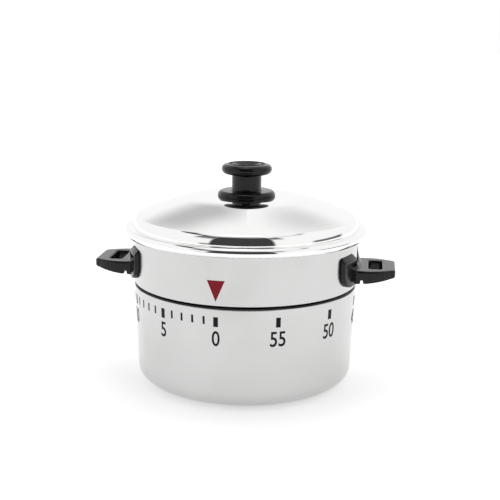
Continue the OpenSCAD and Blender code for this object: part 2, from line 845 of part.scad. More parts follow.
// Balance: a bar with a weight at each end
module balance() {
    half = 5.2;
    color(brass) translate([verge_at[0], verge_at[1], balance_z]) rotate(verge_angle + 90) difference() {
        union() {
            translate([-half, -0.7, 0]) cube([2 * half, 1.4, 0.6]);
            for (s = [-1, 1]) translate([s * half, 0, 0]) cylinder(h = 1.2, r = 1.3);
            cylinder(h = 0.9, r = shaft_r + 0.8);
        }
        bar(shaft_r + 0.02, -1, 4);
    }
}

// Arbor of the hammer, through the lower plate, with the tail that the movement lifts
module hammer_arbor() {
    color(grey_steel) translate(hammer_at) {
        bar(shaft_r, hammer_z - 0.3, top_plate_top - hammer_z + 0.4);
        difference() {
            bar(shaft_r + 0.7, inner_z + 0.3, 1);
            bar(shaft_r * 0.9, inner_z, 2);
        }
    }
}

module hammer() {
    color(grey_steel) translate([hammer_at[0], hammer_at[1], hammer_z]) difference() {
        union() {
            cylinder(h = hammer_h, r = shaft_r + 0.9);
            translate([-hammer_len, -0.6, 0]) cube([hammer_len, 1.2, hammer_h * 0.6]);
            translate([-hammer_len, 0, 0]) cylinder(h = hammer_h, r = hammer_head_r);
        }
        bar(shaft_r + 0.02, -1, hammer_h + 2);
    }
}

module lever_arbor() {
    color(grey_steel) translate(lever_at) wheel_arbor();
}

// Lever that feels the cam: its nose stands just off the disc, over the notch at zero
module release_lever() {
    nose = polar(cam_r + 0.35, cam_notch_angle);
    way = nose - lever_at;
    color(brass) translate([lever_at[0], lever_at[1], lever_z]) difference() {
        union() {
            cylinder(h = 0.6, r = shaft_r + 0.9);
            rotate(atan2(way[1], way[0])) linear_extrude(height = 0.6)
                polygon([[0, -1.1], [norm(way) - 1.2, -0.6], [norm(way), 0],
                    [norm(way) - 1.2, 0.5], [0, 1.1]]);
            rotate(verge_angle - 40) translate([0, -0.5, 0]) cube([5, 1, 0.6]);
        }
        bar(shaft_r + 0.02, -1, 3);
    }
}

lower_shell();
base_pad();
base_screws();
liner_ring();
feet();
bottom_plate();
top_plate();
plate_pillars();
plate_screws();
top_bush();
stop_pin();
spring_post();
mainspring();
bell();
bell_post();
bell_nut();
upper_shell();
lid();
knob();
knob_screw();
left_handle();
right_handle();
handle_screws();
pointer();
carrier();
main_arbor();
main_wheel();
ratchet_wheel();
click_pin();
click_spring();
release_cam();
stop_finger();
click();
second_arbor();
second_pinion();
second_wheel();
third_arbor();
third_pinion();
third_wheel();
escape_arbor();
escape_pinion();
escape_wheel();
verge_arbor();
verge();
balance();
hammer_arbor();
hammer();
lever_arbor();
release_lever();
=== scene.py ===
"""Looks of a wind-up kitchen timer shaped like a small lidded pot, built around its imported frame.

Metres throughout, in the frame's own coordinates: +Z up, the front at -Y, origin under the foot.
"""

from __future__ import annotations

import json
import logging
import math
from collections.abc import Callable, Sequence
from dataclasses import dataclass, field
from enum import Enum

import bmesh
import bpy
from mathutils import Matrix, Vector


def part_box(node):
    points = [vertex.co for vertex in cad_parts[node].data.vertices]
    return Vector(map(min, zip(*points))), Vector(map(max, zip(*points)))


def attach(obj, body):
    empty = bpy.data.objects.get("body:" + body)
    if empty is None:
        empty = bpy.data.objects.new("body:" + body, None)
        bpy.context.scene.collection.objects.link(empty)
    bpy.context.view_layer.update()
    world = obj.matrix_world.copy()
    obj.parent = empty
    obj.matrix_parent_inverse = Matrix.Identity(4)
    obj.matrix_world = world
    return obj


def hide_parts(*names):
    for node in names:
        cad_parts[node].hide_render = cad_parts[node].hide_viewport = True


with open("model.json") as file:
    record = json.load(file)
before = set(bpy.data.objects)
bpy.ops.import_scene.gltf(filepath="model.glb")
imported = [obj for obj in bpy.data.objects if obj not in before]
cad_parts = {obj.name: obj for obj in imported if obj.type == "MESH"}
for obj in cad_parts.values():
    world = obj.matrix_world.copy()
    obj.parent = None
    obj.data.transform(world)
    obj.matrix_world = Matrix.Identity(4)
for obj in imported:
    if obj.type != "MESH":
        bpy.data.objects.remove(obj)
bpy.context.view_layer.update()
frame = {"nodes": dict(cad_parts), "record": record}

log = logging.getLogger("timer")

MM = 0.001
Point = tuple[float, float]


class Body(Enum):
    """The frame's bodies that carry visible pieces."""

    BASE = "base"
    DIAL = "dial"


class Slot(Enum):
    """Some of the record's material slots, passed along with the new pieces."""

    SHELL = "satin_shell"
    LID = "mirror_lid"
    GLOSS = "gloss_black"
    BLACK = "black_plastic"
    RED = "red_print"


# --------------------------------------------------------------------------- shader tools


class Val:
    """One output socket of a shader graph, with arithmetic that adds Math nodes."""

    def __init__(self, graph: "Graph", socket: bpy.types.NodeSocket) -> None:
        """Wraps a socket of a graph."""
        self.graph = graph
        self.socket = socket

    def _math(self, operation: str, *values: "Val | float") -> "Val":
        """Adds one Math node.

        Args:
            operation: Name of the Math node's operation.
            values: What its inputs take, in order.

        Returns:
            The node's result.
        """
        return self.graph.node("ShaderNodeMath", {"operation": operation}, dict(enumerate(values)))

    def __add__(self, other: "Val | float") -> "Val":
        """Sum."""
        return self._math("ADD", self, other)

    def __radd__(self, other: float) -> "Val":
        """Sum with a number on the left."""
        return self._math("ADD", other, self)

    def __sub__(self, other: "Val | float") -> "Val":
        """Difference."""
        return self._math("SUBTRACT", self, other)

    def __rsub__(self, other: float) -> "Val":
        """Difference from a number."""
        return self._math("SUBTRACT", other, self)

    def __mul__(self, other: "Val | float") -> "Val":
        """Product."""
        return self._math("MULTIPLY", self, other)

    def __rmul__(self, other: float) -> "Val":
        """Product with a number on the left."""
        return self._math("MULTIPLY", other, self)

    def angle_to(self, other: "Val") -> "Val":
        """Angle of the point (other, self)."""
        return self._math("ARCTAN2", self, other)

    def arcsin(self) -> "Val":
        """Angle whose sine this is."""
        return self._math("ARCSINE", self)

    def soft_step(self, low: float, high: float) -> "Val":
        """Rises smoothly from 0 at low to 1 at high."""
        settings = {"interpolation_type": "SMOOTHSTEP"}
        return self.graph.node("ShaderNodeMapRange", settings, {0: self, 1: low, 2: high, 3: 0.0, 4: 1.0})

    def within(self, low: float, high: float, soft: float) -> "Val":
        """One between two values, falling smoothly to 0 over a soft edge at each."""
        return self.soft_step(low - soft, low + soft) * (1 - self.soft_step(high - soft, high + soft))


class Graph:
    """The node tree of a material or a world."""

    def __init__(self, tree: bpy.types.NodeTree) -> None:
        """Empties a node tree and keeps it."""
        self.tree = tree
        tree.nodes.clear()

    def node(
        self, kind: str, settings: dict | None = None, inputs: dict | None = None, out: int | str = 0
    ) -> Val:
        """Adds a node.

        Args:
            kind: The node's type.
            settings: Its own settings, set first.
            inputs: Values or links of its sockets, by name or number.
            out: Which output to return.

        Returns:
            The chosen output.
        """
        made = self.tree.nodes.new(kind)
        for key, value in (settings or {}).items():
            setattr(made, key, value)
        for key, value in (inputs or {}).items():
            if isinstance(value, Val):
                self.tree.links.new(value.socket, made.inputs[key])
            else:
                made.inputs[key].default_value = value
        return Val(self, made.outputs[out])

    def finish(self, kind: str, surface: Val) -> None:
        """Adds the output node of a kind and links a surface to it."""
        out = self.tree.nodes.new(kind)
        self.tree.links.new(surface.socket, out.inputs["Surface"])

    def place(self) -> Val:
        """The point on the object, in its own coordinates."""
        return self.node("ShaderNodeTexCoord", out="Object")

    def scaled(self, vector: Val, scale: tuple[float, float, float]) -> Val:
        """A vector with each part scaled."""
        return self.node("ShaderNodeVectorMath", {"operation": "MULTIPLY"}, {0: vector, 1: scale})

    def noise(self, vector: Val, scale: float, detail: float = 3.0, rough: float = 0.5) -> Val:
        """Smooth noise from 0 to 1.

        Args:
            vector: Where it is read.
            scale: Waves per metre.
            detail: Octaves.
            rough: Share that each octave keeps.

        Returns:
            The noise's value.
        """
        values = {"Vector": vector, "Scale": scale, "Detail": detail, "Roughness": rough}
        return self.node("ShaderNodeTexNoise", {"noise_dimensions": "3D"}, values)

    def mix(self, factor: Val | float, first: tuple | Val, second: tuple | Val) -> Val:
        """Blend of two colours."""
        made = self.tree.nodes.new("ShaderNodeMix")
        made.data_type = "RGBA"
        for socket, value in zip((made.inputs[0], made.inputs[6], made.inputs[7]), (factor, first, second)):
            if isinstance(value, Val):
                self.tree.links.new(value.socket, socket)
            else:
                socket.default_value = value
        return Val(self, made.outputs[2])

    def bump(self, height: Val, strength: float, distance: float) -> Val:
        """Normal bent by a height.

        Args:
            height: Height of the relief, in units of distance.
            strength: How much of it is used.
            distance: The height's unit, in metres.

        Returns:
            The bent normal.
        """
        return self.node("ShaderNodeBump", {}, {"Height": height, "Strength": strength, "Distance": distance})


def rgb(red: float, green: float, blue: float) -> tuple[float, float, float, float]:
    """An opaque colour."""
    return (red, green, blue, 1.0)


# --------------------------------------------------------------------------- finishes


@dataclass(frozen=True)
class Finish:
    """What every finish has: a name, and a way to make its material."""

    name: str

    def shade(self, graph: Graph) -> Val:
        """Builds the finish's nodes and returns its surface."""
        raise NotImplementedError

    def material(self) -> bpy.types.Material:
        """Makes the material.

        Returns:
            A new material, or the one of that name if it is made already.
        """
        found = bpy.data.materials.get(self.name)
        if found:
            return found
        made = bpy.data.materials.new(self.name)
        made.use_nodes = True
        graph = Graph(made.node_tree)
        graph.finish("ShaderNodeOutputMaterial", self.shade(graph))
        return made


@dataclass(frozen=True)
class SatinMetal(Finish):
    """Drawn sheet with fine polishing lines that run round the shell."""

    colour: tuple = rgb(0.62, 0.62, 0.617)
    dull: tuple = rgb(0.55, 0.548, 0.54)
    rough: float = 0.21
    line_pitch: float = 0.00022
    line_depth: float = 0.0000012
    haze: float = 0.10

    def shade(self, graph: Graph) -> Val:
        """Soft metal: lines round the axis, faint cloudiness and handling marks."""
        place = graph.place()
        lines = graph.noise(graph.scaled(place, (0.02, 0.02, 1.0)), 1.0 / self.line_pitch, 2.0, 0.6)
        clouds = graph.noise(place, 45.0, 3.0, 0.55)
        marks = graph.noise(graph.scaled(place, (1.0, 1.0, 0.25)), 900.0, 2.0, 0.7)
        rough = self.rough + (clouds - 0.5) * self.haze + (lines - 0.5) * 0.08
        rough = rough + marks.soft_step(0.62, 0.8) * 0.05
        colour = graph.mix(clouds.soft_step(0.35, 0.75) * 0.5, self.colour, self.dull)
        normal = graph.bump(lines, 0.5, self.line_depth)
        values = {"Base Color": colour, "Metallic": 1.0, "Roughness": rough, "Normal": normal}
        return graph.node("ShaderNodeBsdfPrincipled", {}, values)


@dataclass(frozen=True)
class MirrorMetal(Finish):
    """Bright plating, almost a mirror, with faint wiping marks."""

    colour: tuple = rgb(0.93, 0.93, 0.925)
    rough: float = 0.035

    def shade(self, graph: Graph) -> Val:
        """Mirror with a little haze where it has been wiped."""
        place = graph.place()
        wipe = graph.noise(graph.scaled(place, (1.0, 0.35, 1.0)), 120.0, 4.0, 0.6)
        specks = graph.noise(place, 2600.0, 2.0, 0.5)
        rough = self.rough + wipe.soft_step(0.45, 0.8) * 0.035 + specks.soft_step(0.7, 0.8) * 0.06
        colour = graph.mix(wipe.soft_step(0.4, 0.9) * 0.35, self.colour, rgb(0.86, 0.86, 0.85))
        normal = graph.bump(wipe, 0.15, 0.000004)
        values = {"Base Color": colour, "Metallic": 1.0, "Roughness": rough, "Normal": normal}
        return graph.node("ShaderNodeBsdfPrincipled", {}, values)


@dataclass(frozen=True)
class Plastic(Finish):
    """Moulded black plastic: a fine flow ripple, dust and rubbed spots."""

    colour: tuple = rgb(0.006, 0.006, 0.0065)
    worn: tuple = rgb(0.018, 0.018, 0.019)
    rough: float = 0.15
    ripple: float = 0.000006
    shine: float = 0.28

    def shade(self, graph: Graph) -> Val:
        """Dark plastic under a thin gloss."""
        place = graph.place()
        flow = graph.noise(place, 350.0, 3.0, 0.5)
        grain = graph.noise(place, 5000.0, 2.0, 0.6)
        rubbed = graph.noise(place, 170.0, 4.0, 0.65).soft_step(0.5, 0.78)
        rough = self.rough + rubbed * 0.16 + (grain - 0.5) * 0.06
        colour = graph.mix(rubbed * 0.6, self.colour, self.worn)
        normal = graph.bump(flow + grain * 0.3, 0.35, self.ripple)
        values = {"Base Color": colour, "Roughness": rough, "Normal": normal}
        values["Specular IOR Level"] = self.shine
        return graph.node("ShaderNodeBsdfPrincipled", {}, values)


@dataclass(frozen=True)
class Ink(Finish):
    """Screen-printed ink: an even film with a slightly uneven edge to its gloss."""

    colour: tuple = rgb(0.006, 0.006, 0.007)
    thin: tuple = rgb(0.022, 0.022, 0.024)
    rough: float = 0.42
    shine: float = 0.15

    def shade(self, graph: Graph) -> Val:
        """Ink with a little mottling where the film is thinner."""
        place = graph.place()
        mottle = graph.noise(place, 3000.0, 3.0, 0.6)
        colour = graph.mix(mottle.soft_step(0.45, 0.8) * 0.5, self.colour, self.thin)
        rough = self.rough + (mottle - 0.5) * 0.2
        normal = graph.bump(mottle, 0.2, 0.000004)
        values = {"Base Color": colour, "Roughness": rough, "Normal": normal}
        values["Specular IOR Level"] = self.shine
        return graph.node("ShaderNodeBsdfPrincipled", {}, values)


@dataclass(frozen=True)
class WorkedMetal(Finish):
    """Plain machined or stamped metal of the movement."""

    colour: tuple = rgb(0.62, 0.63, 0.65)
    stain: tuple = rgb(0.50, 0.50, 0.50)
    rough: float = 0.33

    def shade(self, graph: Graph) -> Val:
        """Metal with tool lines and a faint stain."""
        place = graph.place()
        lines = graph.noise(graph.scaled(place, (1.0, 0.06, 0.06)), 9000.0, 2.0, 0.5)
        stain = graph.noise(place, 300.0, 4.0, 0.6).soft_step(0.45, 0.75)
        colour = graph.mix(stain * 0.7, self.colour, self.stain)
        rough = self.rough + stain * 0.12 + (lines - 0.5) * 0.12
        normal = graph.bump(lines, 0.3, 0.000003)
        values = {"Base Color": colour, "Metallic": 1.0, "Roughness": rough, "Normal": normal}
        return graph.node("ShaderNodeBsdfPrincipled", {}, values)


SATIN = SatinMetal("satin_sheet")
MIRROR = MirrorMetal("bright_plate")
GLOSS_BLACK = Plastic("gloss_moulding")
DULL_BLACK = Plastic("dull_moulding", rough=0.42, ripple=0.00001)
RUBBER = Plastic(
    "foot_rubber", colour=rgb(0.02, 0.02, 0.02), worn=rgb(0.05, 0.05, 0.048), rough=0.7, ripple=0.00003
)
BLACK_INK = Ink("black_ink")
RED_INK = Ink("red_ink", colour=rgb(0.24, 0.007, 0.017), thin=rgb(0.30, 0.016, 0.028), rough=0.36)
STEEL = WorkedMetal("zinc_steel")
BRASS = WorkedMetal("stamped_brass", colour=rgb(0.78, 0.58, 0.26), stain=rgb(0.55, 0.38, 0.16))
BELL_METAL = WorkedMetal("bell_plate", colour=rgb(0.80, 0.80, 0.80), stain=rgb(0.68, 0.68, 0.67), rough=0.2)
BLUED = WorkedMetal("blued_spring", colour=rgb(0.20, 0.22, 0.30), stain=rgb(0.13, 0.13, 0.16), rough=0.28)

SLOT_FINISH: dict[str, Finish] = {
    "satin_shell": SATIN,
    "mirror_lid": MIRROR,
    "gloss_black": GLOSS_BLACK,
    "black_plastic": DULL_BLACK,
    "rubber": RUBBER,
    "red_print": RED_INK,
    "brass_parts": BRASS,
    "bell_metal": BELL_METAL,
    "zinc_steel": STEEL,
    "spring_steel": BLUED,
}


# --------------------------------------------------------------------------- mesh tools


def arc(centre: Point, radius: float, start: float, end: float, steps: int = 10) -> list[Point]:
    """Points of a circular arc.

    Args:
        centre: Its middle.
        radius: Its radius.
        start: First angle, in degrees.
        end: Last angle, in degrees.
        steps: How many chords.

    Returns:
        The points in order.
    """
    turns = [math.radians(start + (end - start) * i / steps) for i in range(steps + 1)]
    return [(centre[0] + radius * math.cos(t), centre[1] + radius * math.sin(t)) for t in turns]


def smooth_by_angle(mesh: bpy.types.Mesh, degrees: float = 32.0) -> None:
    """Shades a mesh smooth, apart from its sharp edges."""
    mesh.shade_smooth()
    mesh.set_sharp_from_angle(angle=math.radians(degrees))


def as_object(name: str, bm: bmesh.types.BMesh, finish: Finish, sharp: float = 32.0) -> bpy.types.Object:
    """Turns a bmesh into an object with a finish.

    Args:
        name: The object's name.
        bm: The mesh; it is freed.
        finish: What it is made of.
        sharp: Angle past which an edge is shaded sharp, in degrees.

    Returns:
        The new object, linked to the scene.
    """
    bmesh.ops.remove_doubles(bm, verts=bm.verts, dist=1e-7)
    bmesh.ops.recalc_face_normals(bm, faces=bm.faces)
    mesh = bpy.data.meshes.new(name)
    bm.to_mesh(mesh)
    bm.free()
    smooth_by_angle(mesh, sharp)
    mesh.materials.append(finish.material())
    made = bpy.data.objects.new(name, mesh)
    bpy.context.scene.collection.objects.link(made)
    return made


def lathe(profile: Sequence[Point], turns: int = 256) -> bmesh.types.BMesh:
    """Turns a closed outline round Z.

    Args:
        profile: Radius and height of each point. Points on the axis close the form.
        turns: How many steps round.

    Returns:
        The turned mesh.
    """
    bm = bmesh.new()
    rings: list[list[bmesh.types.BMVert]] = []
    for radius, height in profile:
        if radius < 1e-7:
            rings.append([bm.verts.new((0.0, 0.0, height))])
            continue
        ring = []
        for i in range(turns):
            t = 2 * math.pi * i / turns
            ring.append(bm.verts.new((radius * math.cos(t), radius * math.sin(t), height)))
        rings.append(ring)
    for ring, after in zip(rings, rings[1:] + rings[:1]):
        if len(ring) == 1 and len(after) == 1:
            continue
        for i in range(turns):
            j = (i + 1) % turns
            corners = [ring[i % len(ring)], ring[j % len(ring)], after[j % len(after)], after[i % len(after)]]
            bm.faces.new(list(dict.fromkeys(corners)))
    return bm


def prism(outline: Sequence[Point], depth: float) -> bmesh.types.BMesh:
    """A flat plate: an outline in X and Z with a thickness along Y, from 0 outwards to -depth."""
    bm = bmesh.new()
    front = [bm.verts.new((x, -depth, z)) for x, z in outline]
    back = [bm.verts.new((x, 0.0, z)) for x, z in outline]
    bm.faces.new(front)
    bm.faces.new(list(reversed(back)))
    for i in range(len(outline)):
        j = (i + 1) % len(outline)
        bm.faces.new([front[j], front[i], back[i], back[j]])
    bmesh.ops.recalc_face_normals(bm, faces=bm.faces)
    return bm


def slice_across(bm: bmesh.types.BMesh, step: float) -> None:
    """Cuts a flat mesh at even steps along X, so that it bends smoothly."""
    low = min(v.co.x for v in bm.verts)
    high = max(v.co.x for v in bm.verts)
    cuts = max(1, math.ceil((high - low) / step))
    for i in range(1, cuts):
        everything = bm.verts[:] + bm.edges[:] + bm.faces[:]
        at = low + (high - low) * i / cuts
        bmesh.ops.bisect_plane(bm, geom=everything, plane_co=(at, 0, 0), plane_no=(1, 0, 0), dist=1e-8)


def wrap(bm: bmesh.types.BMesh, radius_at: Callable[[float], float], turn: float) -> None:
    """Bends a flat mesh round Z: X runs along the surface and -Y stands off it.

    Args:
        bm: The flat mesh, upright in X and Z.
        radius_at: Radius of the surface at a height.
        turn: Where the mesh's X = 0 goes, in degrees from the front, anticlockwise from above.
    """
    for vert in bm.verts:
        surface = radius_at(vert.co.z)
        around = math.radians(turn) + vert.co.x / surface
        reach = surface - vert.co.y
        vert.co.x = reach * math.sin(around)
        vert.co.y = -reach * math.cos(around)


def report(piece: bpy.types.Object, body: Body, slot: Slot, *nodes: str) -> bpy.types.Object:
    """Puts a finished piece on its body, hides the frame nodes it stands for and logs its face count."""
    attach(piece, body.value)
    if nodes:
        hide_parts(*nodes)
    log.info("%s rides on %s, %d faces", piece.name, body.value, len(piece.data.polygons))
    return piece


# --------------------------------------------------------------------------- sub-assemblies


@dataclass
class Shells:
    """The drawn sheet cup and the band above it; the black ring between them isn't made here."""

    sheet: float = 0.8 * MM
    foot_radius: float = 4.5 * MM
    edge: float = 0.22 * MM
    ledge_up: float = 1.65 * MM
    ledge_high: float = 0.6 * MM
    ledge_wide: float = 2.7 * MM
    radius: float = field(init=False)
    foot_out: float = field(init=False)
    foot_z: float = field(init=False)
    cup_top: float = field(init=False)
    band_low: float = field(init=False)
    band_top: float = field(init=False)

    def __post_init__(self) -> None:
        """Reads the shells' heights and radii from the frame."""
        cup_low, cup_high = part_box("lower_shell")
        band_low, band_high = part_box("upper_shell")
        self.radius = band_high.x
        self.foot_out = self.radius - 1.0 * MM
        self.foot_z, self.cup_top = cup_low.z, cup_high.z
        self.band_low, self.band_top = band_low.z, band_high.z

    def cup_radius(self, height: float) -> float:
        """Outside radius of the cup at a height on its straight wall."""
        share = (height - self.foot_z - self.foot_radius) / (self.cup_top - self.foot_z - self.foot_radius)
        return self.foot_out + (self.radius - self.foot_out) * share

    def cup(self) -> None:
        """The lower shell, with its rolled foot and softened rim."""
        foot = (self.foot_out - self.foot_radius, self.foot_z + self.foot_radius)
        rim = self.radius - self.edge, self.cup_top - self.edge
        profile = [(0.0, self.foot_z), (self.foot_out * 0.4, self.foot_z)]
        profile += arc(foot, self.foot_radius, -90, 0, 24)
        heights = [foot[1] + (self.cup_top - foot[1]) * i / 8 for i in range(1, 8)]
        profile += [(self.cup_radius(height), height) for height in heights]
        profile += arc(rim, self.edge, 0, 90, 5)
        profile += [(self.radius - self.sheet, self.cup_top)]
        profile += arc(foot, self.foot_radius - self.sheet, 0, -90, 12)
        profile += [(0.0, self.foot_z + self.sheet)]
        piece = as_object("cup_shell", lathe(profile), SATIN)
        report(piece, Body.BASE, Slot.SHELL, "lower_shell")

    def band(self) -> None:
        """The upper shell, with softened edges and the ledge inside."""
        inner = self.radius - self.sheet
        e = self.edge
        ledge = self.band_low + self.ledge_up
        profile = [(inner, self.band_low)]
        profile += arc((self.radius - e, self.band_low + e), e, -90, 0, 5)
        height = self.band_top - self.band_low - 2 * e
        profile += [(self.radius, self.band_low + e + height * i / 6) for i in range(1, 6)]
        profile += arc((self.radius - e, self.band_top - e), e, 0, 90, 5)
        shelf = ledge + self.ledge_high
        profile += [(inner, self.band_top), (inner, shelf), (inner - self.ledge_wide, shelf)]
        profile += [(inner - self.ledge_wide, ledge), (inner, ledge)]
        piece = as_object("band_shell", lathe(profile), SATIN)
        report(piece, Body.DIAL, Slot.SHELL, "upper_shell")


@dataclass
class Scale:
    """Printed minute scale on the cup, clockwise from the front, and the red pointer on the band."""

    shells: Shells
    film: float = 0.03 * MM
    tick_top: float = 3.3 * MM
    long_tick: float = 2.95 * MM
    long_width: float = 1.4 * MM
    short_tick: float = 2.4 * MM
    short_width: float = 0.65 * MM
    short_ticks_to: int = 45
    digits_top: float = 7.5 * MM
    digits_high: float = 4.6 * MM
    digit_narrow: float = 0.80
    minutes: int = 60

    def build(self) -> None:
        """Makes the ticks, the numbers and the pointer."""
        top = self.shells.band_low
        for minute in range(self.minutes):
            long = minute % 5 == 0
            if not long and minute > self.short_ticks_to:
                continue
            high = self.long_tick if long else self.short_tick
            wide = self.long_width if long else self.short_width
            self._mark(f"tick_{minute:02d}", minute, self._bar(wide, top - self.tick_top, high))
        for minute in range(0, self.minutes, 5):
            self._mark(f"number_{minute:02d}", minute, self._number(str(minute), top - self.digits_top))
        self._pointer()

    def _bar(self, wide: float, top: float, high: float) -> bmesh.types.BMesh:
        """A flat upright bar of ink, with its top at a height."""
        half = wide / 2
        return prism([(-half, top - high), (half, top - high), (half, top), (-half, top)], self.film)

    def _number(self, text: str, top: float) -> bmesh.types.BMesh:
        """A number as a flat film of ink, centred, with its top at a height."""
        curve = bpy.data.curves.new("number_form", "FONT")
        curve.body = text
        curve.align_x = "CENTER"
        curve.fill_mode = "FRONT"
        curve.resolution_u = 8
        curve.offset = 0.012
        holder = bpy.data.objects.new("number_form", curve)
        bpy.context.scene.collection.objects.link(holder)
        bpy.context.view_layer.update()
        flat = bpy.data.meshes.new_from_object(holder.evaluated_get(bpy.context.evaluated_depsgraph_get()))
        bm = bmesh.new()
        bm.from_mesh(flat)
        bpy.data.objects.remove(holder)
        bpy.data.curves.remove(curve)
        bpy.data.meshes.remove(flat)
        bmesh.ops.remove_doubles(bm, verts=bm.verts, dist=1e-5)
        low = min(v.co.y for v in bm.verts)
        high = max(v.co.y for v in bm.verts)
        middle = (min(v.co.x for v in bm.verts) + max(v.co.x for v in bm.verts)) / 2
        scale = self.digits_high / (high - low)
        for vert in bm.verts:
            across = (vert.co.x - middle) * scale * self.digit_narrow
            vert.co = (across, -self.film, top + (vert.co.y - high) * scale)
        grown = bmesh.ops.extrude_face_region(bm, geom=bm.faces[:])
        for item in grown["geom"]:
            if isinstance(item, bmesh.types.BMVert):
                item.co.y = 0.0
        return bm

    def _mark(self, name: str, minute: int, bm: bmesh.types.BMesh) -> None:
        """Bends one mark onto the cup at its minute and finishes it."""
        slice_across(bm, 0.4 * MM)
        wrap(bm, self.shells.cup_radius, -360.0 * minute / self.minutes)
        piece = as_object(name, bm, BLACK_INK, 60)
        report(piece, Body.BASE, Slot.BLACK)

    def _pointer(self) -> None:
        """The red triangle, point down, on the band."""
        low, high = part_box("pointer")
        half = (high.x - low.x) / 2
        bm = prism([(0.0, low.z), (half, high.z), (-half, high.z)], high.y - low.y)
        slice_across(bm, 0.4 * MM)
        wrap(bm, lambda height: self.shells.radius, 0.0)
        piece = as_object("pointer_print", bm, RED_INK, 60)
        report(piece, Body.DIAL, Slot.RED, "pointer")


@dataclass
class Lid:
    """The bright lid: flat in the middle, domed, with a steep shoulder and a rolled edge."""

    sheet: float = 0.6 * MM
    roll: float = 1.45 * MM
    groove_out: float = 0.3 * MM
    brim_rise: float = 0.12 * MM
    crease: float = 0.12 * MM
    seat_gap: float = 0.05 * MM
    hole: float = 1.55 * MM
    cap_radius: float = 80 * MM
    flat_radius: float = 13.5 * MM
    flat_blend: float = 6.5 * MM
    shoulder: float = 1.5 * MM
    roll_start: float = 90.0
    roll_end: float = -168.0
    radius: float = field(init=False)
    roll_radius: float = field(init=False)
    roll_z: float = field(init=False)
    groove_z: float = field(init=False)
    top: float = field(init=False)

    def __post_init__(self) -> None:
        """Reads the lid's size from the frame."""
        low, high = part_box("lid")
        _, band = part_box("upper_shell")
        self.radius = band.x + self.groove_out
        self.roll_radius = high.x - self.roll
        self.roll_z = low.z + self.roll
        self.groove_z = self.roll_z + self.roll - self.brim_rise
        self.top = high.z

    def cap(self, radius: float) -> float:
        """Height of the cap at a radius: a flat middle that blends into a sphere."""
        blend = self.flat_radius + self.flat_blend
        deep = math.sqrt(self.cap_radius ** 2 - blend ** 2)
        slope = blend / deep
        if radius <= self.flat_radius:
            return self.top
        if radius <= blend:
            return self.top - slope * (radius - self.flat_radius) ** 2 / self.flat_blend / 2
        return self.top - slope * self.flat_blend / 2 - deep + math.sqrt(self.cap_radius ** 2 - radius ** 2)

    def dome(self, radius: float) -> float:
        """Height of the lid's outside at a radius, from the middle to the crease."""
        share = max(0.0, min(1.0, (radius - self.radius + self.shoulder) / self.shoulder))
        return self.cap(radius) - (self.cap(self.radius) - self.groove_z) * (1 - math.sqrt(1 - share * share))

    def radii(self, outside: float) -> list[float]:
        """Radii of the rings from the hole to the edge, close together on the shoulder."""
        calm = outside - self.shoulder * 1.05
        rings = [self.hole + (calm - self.hole) * i / 90 for i in range(91)]
        rest = outside - calm
        return rings + [calm + rest * math.sin(math.pi / 2 * i / 24) for i in range(1, 24)]

    def build(self) -> None:
        """Makes the lid as one closed turned form."""
        rim = self.radius - self.sheet
        shrink = (self.top - self.groove_z - self.sheet) / (self.top - self.groove_z)
        brim = self.groove_z + self.brim_rise
        skin = [(r, self.dome(r)) for r in self.radii(self.radius)]
        skin += arc((self.radius + self.crease, brim + self.crease), self.crease, 180, 270, 5)
        skin += arc((self.roll_radius, self.roll_z), self.roll, self.roll_start, self.roll_end, 72)
        skin += [(self.radius - self.groove_out + self.seat_gap, self.groove_z), (rim, self.groove_z)]
        for r in reversed(self.radii(rim)):
            skin.append((r, self.groove_z + (self.dome(r * self.radius / rim) - self.groove_z) * shrink))
        piece = as_object("lid_dome", lathe(skin, 320), MIRROR)
        report(piece, Body.DIAL, Slot.LID, "lid")


@dataclass
class Knob:
    """The turned black knob: flat collar, neck and dished top disc with a raised button."""

    collar_high: float = 1.6 * MM
    collar_edge: float = 0.15 * MM
    neck: float = 4.6 * MM
    neck_fillet: float = 0.65 * MM
    disc: float = 7.85 * MM
    disc_half: float = 1.5 * MM
    dish_in: float = 1.2 * MM
    dish_radius: float = 0.7 * MM
    dish_up: float = 0.4 * MM
    dish_end: float = 20.0
    button: float = 1.6 * MM
    button_flare: float = 0.3 * MM
    dish_floor: float = 0.9 * MM
    button_edge: float = 0.55 * MM
    button_top: float = 0.45 * MM
    collar_bevel: float = 0.1 * MM
    low: float = field(init=False)
    top: float = field(init=False)
    collar: float = field(init=False)

    def __post_init__(self) -> None:
        """Reads the knob's height and its widest radius from the frame, less the lip of its dish."""
        low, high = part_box("knob")
        lip = self.dish_up - self.dish_radius * math.sin(math.radians(self.dish_end))
        self.low, self.top, self.collar = low.z, high.z - lip, high.x

    def build(self) -> None:
        """Makes the knob as one closed turned form."""
        round_over = self.collar_high - self.collar_edge
        collar_top = self.low + self.collar_high
        disc_z = self.top - self.disc_half
        fillet = self.neck_fillet
        dish = (self.disc - self.disc_half - self.dish_in, self.top + self.dish_up)
        profile = [(0.0, self.low), (self.collar - self.collar_bevel, self.low)]
        profile += arc((self.collar - round_over, self.low + self.collar_edge), round_over, 0, 90, 18)
        profile += arc((self.neck + fillet, collar_top + fillet), fillet, -90, -180, 10)
        profile += arc((self.neck + fillet, disc_z - self.disc_half - fillet), fillet, 180, 90, 10)
        profile += arc((self.disc - self.disc_half, disc_z), self.disc_half, -90, 90, 32)
        profile += arc(dish, self.dish_radius, -self.dish_end, self.dish_end - 180, 14)
        profile += [(self.button + self.button_flare, self.top - self.dish_floor)]
        profile += [(self.button, self.top - self.button_edge), (0.0, self.top - self.button_top)]
        piece = as_object("knob_turned", lathe(profile, 192), GLOSS_BLACK)
        report(piece, Body.DIAL, Slot.GLOSS, "knob")


